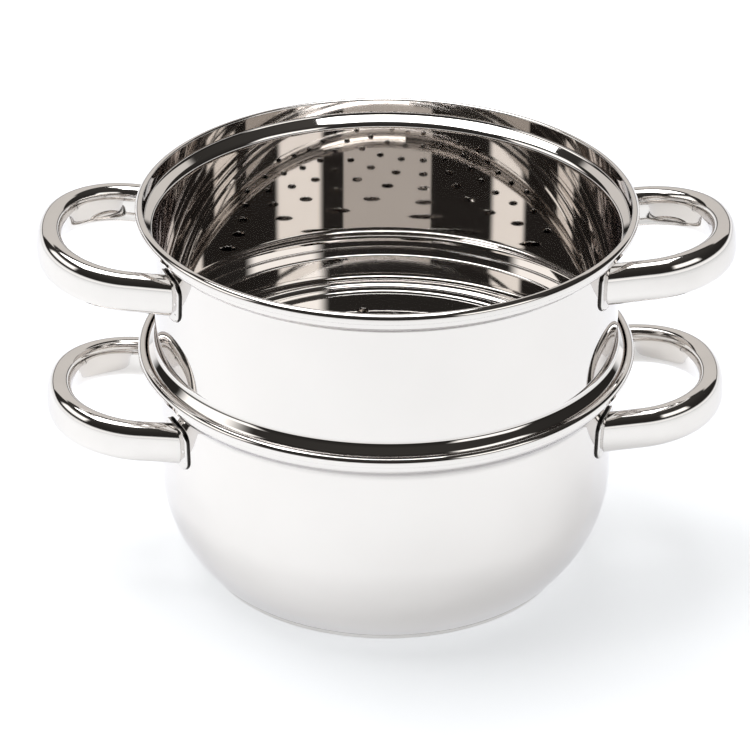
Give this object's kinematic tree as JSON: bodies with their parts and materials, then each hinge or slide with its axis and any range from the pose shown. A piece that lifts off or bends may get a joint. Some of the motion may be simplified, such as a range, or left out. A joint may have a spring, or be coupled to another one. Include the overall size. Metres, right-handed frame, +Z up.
{
  "type": "steamer pot",
  "caption": "Stackable steel steamer set: a casserole pot with a rolled rim and loop handles, and a perforated steamer that nests on its ledge and lifts out.",
  "frame": {"origin": "on the axis of the pot, on the surface that its base stands on", "axes": "+Z up along the axis, X through the pot's two handles, front towards -Y"},
  "size_m": [0.3492, 0.25, 0.1981],
  "materials": {
    "mirror_steel": "polished",
    "handle_steel": "polished",
    "plate_steel": "polished",
    "base_steel": "satin",
    "base_aluminium": "plain"
  },
  "bodies": {
    "pot": {"pot_shell": "mirror_steel", "pot_base_core": "base_aluminium", "pot_base_cap": "base_steel", "pot_handle_left": "handle_steel", "pot_bracket_left_front": "plate_steel", "pot_bracket_left_back": "plate_steel", "pot_handle_right": "handle_steel", "pot_bracket_right_front": "plate_steel", "pot_bracket_right_back": "plate_steel"},
    "steamer": {"steamer_shell": "mirror_steel", "steamer_handle_left": "handle_steel", "steamer_bracket_left_front": "plate_steel", "steamer_bracket_left_back": "plate_steel", "steamer_handle_right": "handle_steel", "steamer_bracket_right_front": "plate_steel", "steamer_bracket_right_back": "plate_steel"}
  },
  "joints": [
    {"name": "steamer_lift", "type": "slide", "parent": "pot", "child": "steamer", "axis": [0, 0, 1], "range_m": [0, 0.08]}
  ]
}
